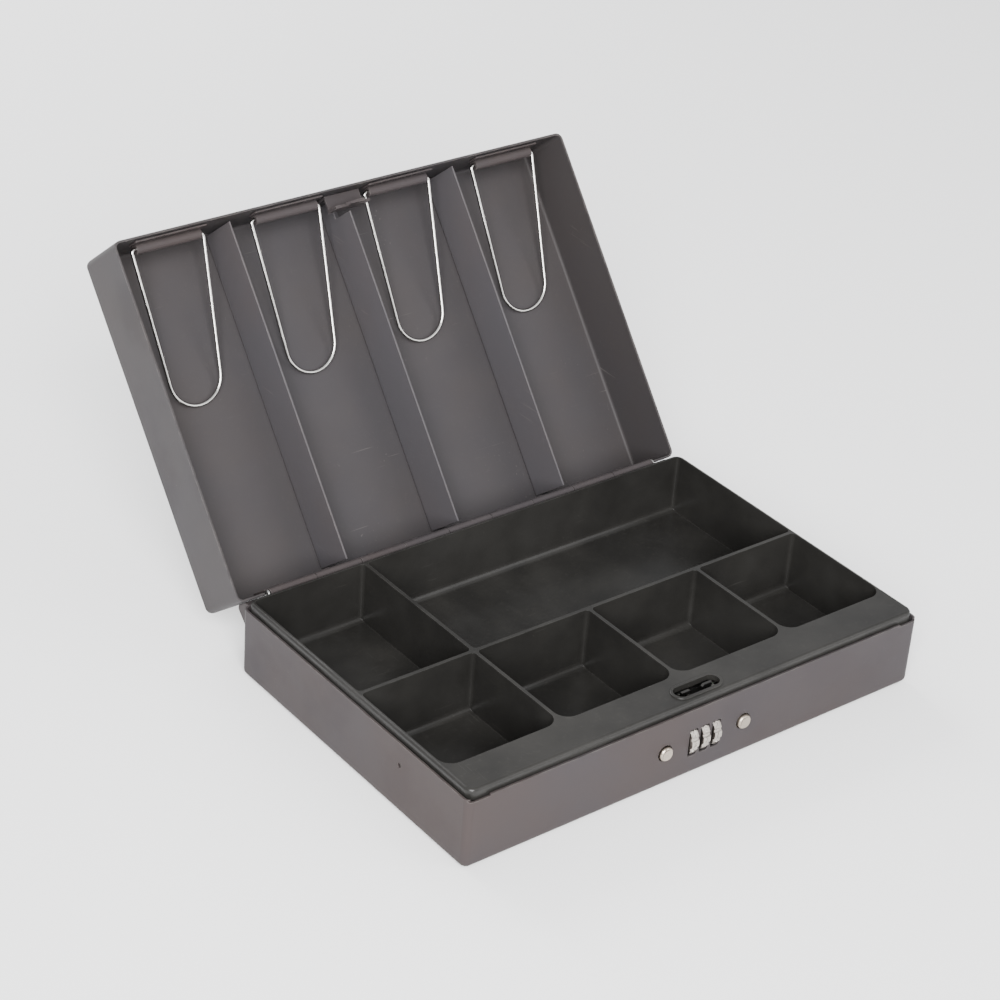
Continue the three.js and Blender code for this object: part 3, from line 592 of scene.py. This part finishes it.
lock = {"centre": 1, "height": 19.5, "pitch": 7.4, "wheel": 4.5, "radius": 9.4, "y": -89, "windowHalf": 2.8,
        "windowTall": 7.9, "windowCorner": 1.0, "buttonSpread": 25.5, "buttonRise": 0.5, "buttonHole": 4.5}
half = case["width"] / 2
deep = case["depth"] / 2
rim = case["rim"]


def foldedPan(name, low, high, openSide):  # openSide is 1 for an open top and -1 for an open bottom
    pan = block(name, low, high)
    deleteFaces(pan, lambda centre, normal: normal.z * openSide > 0.9)
    bevelEdges(pan, lambda a, b: abs(a.z - b.z) > 1 and at(a.x, b.x), case["corner"], 6)
    closed = low[2] if openSide > 0 else high[2]
    bevelEdges(pan, lambda a, b: at(a.z, closed) and at(b.z, closed), case["fold"], 5)
    applyModifier(pan, "SOLIDIFY", thickness=case["sheet"] * mm, offset=-1, use_even_offset=True,
                  use_rim=True)
    return pan


def makeBase():
    shell = foldedPan("baseShell", (-half, -deep, 0), (half, deep, rim), 1)
    for step in (-1, 0, 1):
        x = lock["centre"] + step * lock["pitch"]
        window = block("window", (x - lock["windowHalf"], -deep - 3, lock["height"] - lock["windowTall"]),
                       (x + lock["windowHalf"], -deep + 3, lock["height"] + lock["windowTall"]))
        bevelEdges(window, lambda a, b: abs(a.y - b.y) > 1, lock["windowCorner"], 4)
        combine(shell, window)
    buttonZ = lock["height"] + lock["buttonRise"]
    for side in (-1, 1):
        x = lock["centre"] + side * lock["buttonSpread"]
        combine(shell, rod("hole", lock["buttonHole"], (x, -deep - 3, buttonZ), 6, "Y", 40))
        start = half - case["reliefLong"] if side > 0 else -half - 1
        combine(shell, block("relief", (start, -deep - 1, rim - case["reliefLow"]),
                             (start + case["reliefLong"] + 1, -deep + case["reliefDeep"], rim + 1)))
    holeStart = (-half - 2, case["holeY"], case["holeZ"])
    combine(shell, rod("smallHole", case["holeRadius"], holeStart, 5, "X", 24))
    softenEdges(shell, case["edge"], 2)
    finishMesh(shell)
    return shell


base = makeBase()
settle(base, "case", "paint", "base_shell")
print("base ready")


lidSpec = {"length": 195, "depth": 40, "rim": 0.6, "notchHalf": 129.6, "notchHigh": 3.1, "notchDeep": 1.7}


def makeLid():  # modelled rim down in lid space, notched at the back for the hinge
    low, high = (-half, -lidSpec["length"], lidSpec["rim"]), (half, 0, lidSpec["depth"])
    shell = foldedPan("lidShell", low, high, -1)
    reach = lidSpec["notchHalf"]
    combine(shell, block("notch", (-reach, -lidSpec["notchDeep"], -1), (reach, 1, lidSpec["notchHigh"])))
    softenEdges(shell, case["edge"], 2)
    finishMesh(shell)
    return swingOpen(shell)


lid = makeLid()
# the lid wears the lighter, cooler copy of the case paint: painted light
settle(lid, "lid", "paint", "lid_shell", finish="lid")

fin = {"pitch": 73, "front": -192.3, "back": -4.1, "low": 8.5, "foot": 10, "sheet": 1.0, "bend": 1.4,
       "under": 38.5, "edge": 0.22, "clearLeft": -12, "clearRight": 14, "clearBack": -182.2, "clearHigh": 25}


def makeFin(name, x, notched):  # an upright fin bent over into a foot that lies against the panel
    top = fin["under"] - fin["sheet"] / 2
    profile = [(0, fin["low"])]
    profile += arc(fin["bend"], top - fin["bend"], fin["bend"], 180, 90, 6)
    profile.append((fin["foot"], top))
    strip = edgeChain(name, [(x + u, fin["front"], v) for u, v in profile])
    selectAll(strip)
    bpy.ops.mesh.select_mode(type="EDGE")
    run = (fin["back"] - fin["front"]) * mm
    bpy.ops.mesh.extrude_edges_move(TRANSFORM_OT_translate={"value": (0, run, 0)})
    leaveEdit()
    applyModifier(strip, "SOLIDIFY", thickness=fin["sheet"] * mm, offset=0, use_even_offset=True)
    if notched:  # the middle fin stops short of the lock's catch
        combine(strip, block("clear", (fin["clearLeft"], fin["front"] - 1, 0),
                             (fin["clearRight"], fin["clearBack"], fin["clearHigh"])))
    softenEdges(strip, fin["edge"], 2)
    finishMesh(strip)
    return swingOpen(strip)


for index, side in enumerate(("left", "middle", "right")):
    divider = makeFin("lidDivider" + side.capitalize(), (index - 1) * fin["pitch"], side == "middle")
    # the dividers wear the lighter copy of the case paint: painted light
    settle(divider, "lid", "paint", "lid_divider_" + side, finish="fin")
print("lid ready")


leaf = {"back": -1.6, "sheet": 1, "gap": 0.5, "tall": 15, "corner": 2.5, "lap": 0.3, "bore": 1.6,
        "edge": 0.18, "rivet": 2.0, "rivetProud": 0.6, "rivetLong": 0.7, "rivetUp": 8.5, "rivetRound": 0.45}


def knuckleRange(index):
    pitch = hinge["length"] / hinge["knuckles"]
    start = -hinge["length"] / 2 + index * pitch
    return start + hinge["gap"] / 2, start + pitch - hinge["gap"] / 2


def makeLeaf(name, first, up):  # up is 1 for the lid's leaf, which shows its rivets, and -1 for the base's
    back, front = leaf["back"], leaf["back"] - leaf["sheet"]
    reach = hinge["radius"] + leaf["gap"]
    far = reach + leaf["tall"]
    low, high = sorted((up * reach, up * far))
    plate = block(name, (-hinge["length"] / 2, front, low), (hinge["length"] / 2, back, high))
    bevelEdges(plate, lambda a, b: abs(a.y - b.y) > 0.5 and at(a.z, up * far), leaf["corner"], 4)
    lap = up * (reach + leaf["lap"])
    for index in range(first, hinge["knuckles"], 2):
        x0, x1 = knuckleRange(index)
        combine(plate, block("tab", (x0, front, min(0, lap)), (x1, back, max(0, lap))), "UNION")
        combine(plate, rod("knuckle", hinge["radius"], (x0, 0, 0), x1 - x0, "X", 40), "UNION")
    combine(plate, rod("bore", leaf["bore"], (-hinge["length"] / 2 - 1, 0, 0), hinge["length"] + 2, "X", 28))
    softenEdges(plate, leaf["edge"], 2)
    if up > 0:
        rivets = []
        crown = front - leaf["rivetProud"]
        for index in range(hinge["knuckles"]):
            x0, x1 = knuckleRange(index)
            centre = ((x0 + x1) / 2, crown, reach + leaf["rivetUp"])
            rivet = rod("rivet", leaf["rivet"], centre, leaf["rivetLong"], "Y", 24)
            bevelEdges(rivet, lambda a, b: at(a.y, crown) and at(b.y, crown), leaf["rivetRound"], 3)
            rivets.append(rivet)
        plate = joinPieces(name, [plate] + rivets)
    finishMesh(plate)
    return plate


lidLeaf = swingOpen(makeLeaf("hingeLeafLid", 1, 1))
settle(lidLeaf, "lid", "paint", "hinge_leaf_lid")
baseLeaf = makeLeaf("hingeLeafBase", 0, -1)
baseLeaf.matrix_world = Matrix.Translation((0, hinge["y"] * mm, hinge["z"] * mm))
applyPlace(baseLeaf)
settle(baseLeaf, "case", "paint", "hinge_leaf_base")


pin = {"radius": 1.3, "past": 0.3, "head": 2.2, "headLong": 1, "headRound": 0.5}


def makePin():
    reach = hinge["length"] / 2 + pin["past"]
    shaft = rod("hingePin", pin["radius"], (-reach, hinge["y"], hinge["z"]), reach * 2, "X", 28)
    for side in (-1, 1):
        start = reach if side > 0 else -reach - pin["headLong"]
        head = rod("head", pin["head"], (start, hinge["y"], hinge["z"]), pin["headLong"], "X", 28)
        outer = side * (reach + pin["headLong"])
        bevelEdges(head, lambda a, b: at(a.x, outer) and at(b.x, outer), pin["headRound"], 3)
        combine(shaft, head, "UNION")
    finishMesh(shaft)
    return shaft


settle(makePin(), "case", "zinc", "hinge_pin")


stop = {"root": 96.4, "foot": 20, "heel": 3.0, "tip": 11.0, "nose": 2.3, "gap": 0.35, "round": 0.5}


def makeStop(word):  # a gusset behind the base that the open lid leans on
    low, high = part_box("lid_stop_" + word)
    slope = math.radians(hinge["open"])

    def onLid(along):  # a point a small gap off the open lid's back, along from the hinge
        return (hinge["y"] + math.sin(slope) * along + math.cos(slope) * stop["gap"],
                hinge["z"] + math.cos(slope) * along - math.sin(slope) * stop["gap"])

    heel, tip = onLid(stop["heel"]), onLid(stop["tip"])
    outline = [(stop["root"], stop["foot"]), (tip[0], tip[1] - stop["nose"]), tip, heel,
               (stop["root"], heel[1])]
    start, wide = low.x / mm, (high.x - low.x) / mm
    gusset = plateFrom("lidStop" + word.capitalize(), [(start, y, z) for y, z in outline], (wide, 0, 0))
    softenEdges(gusset, stop["round"], 3, 20)
    finishMesh(gusset)
    return gusset


for word in ("left", "right"):
    settle(makeStop(word), "case", "paint", "lid_stop_" + word)
print("hinge ready")


tray = {"half": 144.2, "front": -94.2, "rear": 94.2, "low": 1.6, "top": 44, "wall": 2.2, "floor": 9,
        "skin": 2, "corner": 5, "edge": 1.8, "pitch": 73, "divider": 2, "ledgeBack": -73, "split": -2.5,
        "scoop": 22, "rearScoop": 4, "backRound": 4, "frontCorner": 8, "rearCorner": 2.5, "soft": 2.2,
        "rimRound": 0.9}
slotSpec = {"x": 1, "y": -86, "length": 28, "width": 8.5, "bead": 1.6, "rise": 0.8, "beadHigh": 3,
            "beadRound": 0.7}


def pocketCutter(x0, x1, y0, y1, scoop, frontCorner):  # what is cut out for one compartment
    low, high = tray["floor"], tray["top"] + 3
    body = block("pocket", (x0, y0, low), (x1, y1, high))
    along = lambda a, b, y: at(a.z, low) and at(b.z, low) and at(a.y, y) and at(b.y, y)
    bevelEdges(body, lambda a, b: along(a, b, y0), scoop, 14 if scoop > 10 else 5)
    bevelEdges(body, lambda a, b: along(a, b, y1), tray["backRound"], 5)
    plan = block("plan", (x0, y0, low - 1), (x1, y1, high + 1))
    bevelEdges(plan, lambda a, b: abs(a.z - b.z) > 1 and at(a.y, y0), frontCorner, 7)
    bevelEdges(plan, lambda a, b: abs(a.z - b.z) > 1 and at(a.y, y1), tray["rearCorner"], 4)
    combine(body, plan, "INTERSECT")
    softenEdges(body, tray["soft"], 4, 52)
    return body


def cutHollow(body, inner, rearBack):  # the hollow underneath, which also makes room for the lock
    skin, top = tray["skin"], tray["top"]
    scoopY, scoopZ = tray["ledgeBack"] + tray["scoop"], tray["floor"] + tray["scoop"]
    around = tray["scoop"] + skin
    combine(body, block("under", (-inner, scoopY - 1, -3), (inner, rearBack, tray["floor"] - skin)))
    nose = block("nose", (-inner, tray["front"] - 3, -3), (inner, scoopY + 0.1, top - tray["wall"]))
    combine(nose, rod("bulge", around, (-inner - 2, scoopY, scoopZ), inner * 2 + 4, "X", 72))
    combine(nose, block("roof", (-inner - 2, scoopY - around, scoopZ), (inner + 2, scoopY + 11, top + 16)))
    combine(nose, block("lip", (-inner - 2, tray["front"] - 5, top - 6),
                        (inner + 2, tray["front"] + tray["wall"], top + 2)))
    combine(body, nose)


def isRim(a, b, inner, rearBack):  # the pocket mouths: level edges in the top face, inside the outer rounding
    level = min(a.z, b.z) > tray["top"] - 0.01
    inX = max(abs(a.x), abs(b.x)) < inner + 0.05
    inY = min(a.y, b.y) > tray["ledgeBack"] - 0.05 and max(a.y, b.y) < rearBack + 0.05
    return level and inX and inY


def slotOval(name, grow, z0, z1):
    halfLong, halfWide = slotSpec["length"] / 2 + grow, slotSpec["width"] / 2 + grow
    piece = block(name, (slotSpec["x"] - halfLong, slotSpec["y"] - halfWide, z0),
                  (slotSpec["x"] + halfLong, slotSpec["y"] + halfWide, z1))
    bevelEdges(piece, lambda a, b: abs(a.z - b.z) > 0.5, halfWide - 0.02, 10)
    return piece


def makeTray():
    low, top = tray["low"], tray["top"]
    body = block("trayBody", (-tray["half"], tray["front"], low), (tray["half"], tray["rear"], top))
    bevelEdges(body, lambda a, b: abs(a.z - b.z) > 1, tray["corner"], 8)
    bevelEdges(body, lambda a, b: at(a.z, low) and at(b.z, low), tray["edge"], 3)
    bevelEdges(body, lambda a, b: at(a.z, top) and at(b.z, top), tray["edge"], 5)
    inner = tray["half"] - tray["wall"]
    rearBack = tray["rear"] - tray["wall"]
    cutHollow(body, inner, rearBack)
    gap, pitch = tray["divider"] / 2, tray["pitch"]
    rearY = (tray["split"] + gap, rearBack)
    frontY = (tray["ledgeBack"], tray["split"] - gap)
    columns = [(-inner, -pitch - gap), (-pitch + gap, -gap), (gap, pitch - gap), (pitch + gap, inner)]
    for x0, x1 in (columns[0], (columns[1][0], columns[3][1])):  # narrow for coin rolls, wide for notes
        combine(body, pocketCutter(x0, x1, *rearY, tray["rearScoop"], tray["rearCorner"]))
    for x0, x1 in columns:
        combine(body, pocketCutter(x0, x1, *frontY, tray["scoop"], tray["frontCorner"]))
    pickEdges(body, lambda a, b: isRim(a, b, inner, rearBack))
    bpy.ops.mesh.bevel(offset=tray["rimRound"] * mm, segments=4, profile=0.5, affect="EDGES",
                       clamp_overlap=True)
    leaveEdit()
    crown = top + slotSpec["rise"]
    bead = slotOval("bead", slotSpec["bead"], crown - slotSpec["beadHigh"], crown)
    bevelEdges(bead, lambda a, b: min(a.z, b.z) > crown - 0.01, slotSpec["beadRound"], 4)
    combine(body, bead, "UNION")
    combine(body, slotOval("slotHole", 0, top - 4, top + 3))
    finishMesh(body, 38)
    return body


trayPiece = makeTray()
settle(trayPiece, "tray", "tray_plastic", "tray")
print("tray ready")


wheel = {"notch": 1.15, "notchOut": 0.35, "boss": 4, "bossLong": 2.6, "bore": 2.5, "figure": 3.5,
         "raise": 0.16, "figureDeep": 0.2, "figureFat": 0.08, "edge": 0.22,
         "turns": {"left": 3, "middle": 7, "right": 1}}


def makeFigure(number):
    deselect()
    bpy.ops.object.text_add()
    text = bpy.context.active_object
    text.data.body = str(number)
    text.data.align_x = "CENTER"
    text.data.align_y = "CENTER"
    text.data.size = wheel["figure"] * 1.35 * mm  # a figure is about three quarters as tall as its text size
    text.data.extrude = wheel["figureDeep"] * mm
    text.data.offset = wheel["figureFat"] * mm
    text.data.resolution_u = 3
    only(text)
    bpy.ops.object.convert(target="MESH")
    figure = bpy.context.active_object
    outward = (lock["radius"] - wheel["figureDeep"]) * mm
    figure.matrix_world = (Matrix.Rotation(math.radians(-36 * number), 4, "X")
                           @ Matrix.Translation((0, -outward, 0)) @ Matrix.Rotation(math.pi / 2, 4, "X"))
    return applyPlace(figure)


def makeWheel(name):
    halfWide = lock["wheel"] / 2
    piece = rod(name, lock["radius"] - wheel["raise"], (-halfWide, 0, 0), lock["wheel"], "X", 60)
    reach = lock["radius"] + wheel["notchOut"]
    for number in range(10):  # a finger notch between each two figures
        angle = math.radians(36 * number + 18)
        start = (-4, math.cos(angle) * reach, math.sin(angle) * reach)
        combine(piece, rod("groove", wheel["notch"], start, 8, "X", 20))
    combine(piece, rod("boss", wheel["boss"], (0, 0, 0), halfWide + wheel["bossLong"], "X", 32), "UNION")
    combine(piece, rod("bore", wheel["bore"], (-6, 0, 0), 12, "X", 32))
    softenEdges(piece, wheel["edge"], 2, 35)
    piece = joinPieces(name, [piece] + [makeFigure(number) for number in range(10)])
    finishMesh(piece, 40, False)
    return piece


model = makeWheel("numberWheel")
for index, word in enumerate(("left", "middle", "right")):
    dial = copyOf(model, "dial" + word.capitalize())
    spot = Vector((lock["centre"] + (index - 1) * lock["pitch"], lock["y"], lock["height"])) * mm
    turn = math.radians(36 * wheel["turns"][word])
    dial.matrix_world = Matrix.Translation(spot) @ Matrix.Rotation(turn, 4, "X")
    applyPlace(dial)
    settle(dial, "dial_" + word, "dial_metal", "dial_" + word)
bpy.data.objects.remove(model)
print("number wheels ready")


cap = {"radius": 4, "proud": 2, "dome": 1.5, "collar": 5.5, "collarY": -94.4, "collarThick": 1,
       "collarRound": 0.25, "stem": 2.5, "stemLong": 4, "wedgeFront": -90.9, "wedgeBack": -84.9,
       "wedgeOut": 8.45, "wedgeHigh": 6, "wedgeRound": 0.3, "rings": ((0.7, 0.12), (0.8, 0.06))}


def makeButton(side, word):  # side is -1 for left and 1 for right: the wedge points outward, to its bolt
    x = lock["centre"] + side * lock["buttonSpread"]
    z = lock["height"] + lock["buttonRise"]
    front = -deep - cap["proud"]
    piece = rod("button" + word.capitalize(), cap["radius"], (x, front, z), cap["collarY"] - front, "Y", 48)
    bevelEdges(piece, lambda a, b: max(a.y, b.y) < front + 0.01, cap["dome"], 6)
    pickFaces(piece, lambda centre, normal: normal.y < -0.99 and centre.y < front + 0.1)
    for inset, proud in cap["rings"]:  # each ring of the face stands a little prouder than the last
        bpy.ops.mesh.inset(thickness=inset * mm)
        bpy.ops.transform.translate(value=(0, -proud * mm, 0))
    leaveEdit()
    collar = rod("collar", cap["collar"], (x, cap["collarY"], z), cap["collarThick"], "Y", 48)
    bevelEdges(collar, lambda a, b: at(a.y, b.y), cap["collarRound"], 2)
    stem = rod("stem", cap["stem"], (x, cap["collarY"] + cap["collarThick"] / 2, z), cap["stemLong"], "Y", 32)
    wedgeFront, wedgeBack, out = cap["wedgeFront"], cap["wedgeBack"], cap["wedgeOut"]
    corners = [(-cap["stem"], wedgeFront), (out, wedgeFront), (out - (wedgeBack - wedgeFront), wedgeBack),
               (-cap["stem"], wedgeBack)]
    low = z - cap["wedgeHigh"] / 2
    wedge = plateFrom("wedge", [(x + side * u, y, low) for u, y in corners], (0, 0, cap["wedgeHigh"]))
    softenEdges(wedge, cap["wedgeRound"], 2)
    for other in (collar, stem, wedge):
        combine(piece, other, "UNION")
    finishMesh(piece)
    return piece


for side, word in ((-1, "left"), (1, "right")):
    settle(makeButton(side, word), "button_" + word, "button_metal", "button_" + word)
print("buttons ready")


clip = {"bays": (-109.5, -36.5, 36.5, 109.5), "y": -190.6, "z": 12.8, "wire": 1.0, "spread": 21.5,
        "waist": 15.5, "length": 88.8, "bend": 1.9, "tail": 13.5, "under": 38.5, "leafHalf": 21.7,
        "leafEdge": -7.6, "leafTop": 0.3, "leafSheet": 0.8, "leafCorner": 1.2, "barrel": 2.9,
        "barrelHalf": 19.5, "cheek": 18.5, "endBore": 1.3, "edge": 0.18}
coil = {"turns": 4, "radius": 1.55, "wire": 0.25, "gap": 0.3, "steps": 18}
clipTilt = math.asin((clip["under"] - clip["wire"] - clip["z"]) / (clip["length"] - clip["wire"]))


def clipPath():
    endY = clip["length"] - clip["wire"] - clip["waist"]
    taper = math.atan2(clip["spread"] - clip["waist"], endY)
    bendX = clip["spread"] - clip["bend"]
    side = [(clip["tail"], 0)]
    side += arc(bendX, clip["bend"], clip["bend"], -90, math.degrees(taper), 9)
    side += arc(0, endY, clip["waist"], math.degrees(taper), 90, 16)
    both = side + [(-x, y) for x, y in reversed(side[:-1])]
    return [(x, y, 0) for x, y in both]


def makeBracket(name):  # a leaf on the lid's front wall, rolled into a barrel for the wire's tails
    sheet, wall = clip["leafSheet"], -clip["barrel"]
    ends, cheek = clip["barrelHalf"], clip["cheek"]
    bar = block(name, (-clip["leafHalf"], wall, clip["leafEdge"]),
                (clip["leafHalf"], wall + sheet, clip["leafTop"]))
    bevelEdges(bar, lambda a, b: abs(a.y - b.y) > 0.5 and at(a.z, clip["leafEdge"]), clip["leafCorner"], 5)
    combine(bar, rod("barrel", clip["barrel"], (-ends, 0, 0), 2 * ends, "X", 40), "UNION")
    combine(bar, rod("bore", clip["barrel"] - sheet, (-cheek, 0, 0), 2 * cheek, "X", 32))
    combine(bar, rod("ends", clip["endBore"], (-ends - 10, 0, 0), 2 * ends + 20, "X", 28))
    combine(bar, block("seam", (-cheek, -2.3, 1.2), (cheek, -1.9, 3)))  # where the roll meets the leaf
    softenEdges(bar, clip["edge"], 2)
    finishMesh(bar)
    return bar


def makeClipSpring(name):
    inset = coil["gap"] + coil["wire"]  # from the barrel's cheek to the middle of the first turn's wire
    length = clip["cheek"] - clip["tail"] - 2 * inset
    count = coil["turns"] * coil["steps"]
    points = []
    for i in range(count + 1):
        angle = i / coil["steps"] * 2 * math.pi
        around = math.cos(angle) * coil["radius"], math.sin(angle) * coil["radius"]
        points.append((i / count * length, *around))
    spring = wireFrom(name, points, coil["wire"], 3)
    spring.matrix_world = Matrix.Translation(((inset - clip["cheek"]) * mm, 0, 0))
    return applyPlace(spring)


wireModel = wireFrom("clipWire", clipPath(), clip["wire"], 5)
wireModel.matrix_world = Matrix.Rotation(clipTilt, 4, "X")
applyPlace(wireModel)
barModel = makeBracket("clipBar")
springModel = makeClipSpring("clipCoil")
for index, x in enumerate(clip["bays"], 1):
    shift = (x, clip["y"], clip["z"])
    wire = swingOpen(copyOf(wireModel, f"clipWire{index}", shift))
    settle(wire, f"clip_{index}", "wire", f"clip_wire_{index}")
    bracket = swingOpen(copyOf(barModel, f"clipBar{index}", shift))
    settle(bracket, "lid", "paint", f"clip_bracket_{index}")
    spring = swingOpen(copyOf(springModel, f"clipCoil{index}", shift))
    settle(spring, f"clip_{index}", "zinc", f"clip_spring_{index}")
for piece in (wireModel, barModel, springModel):
    bpy.data.objects.remove(piece)
print("clips ready")
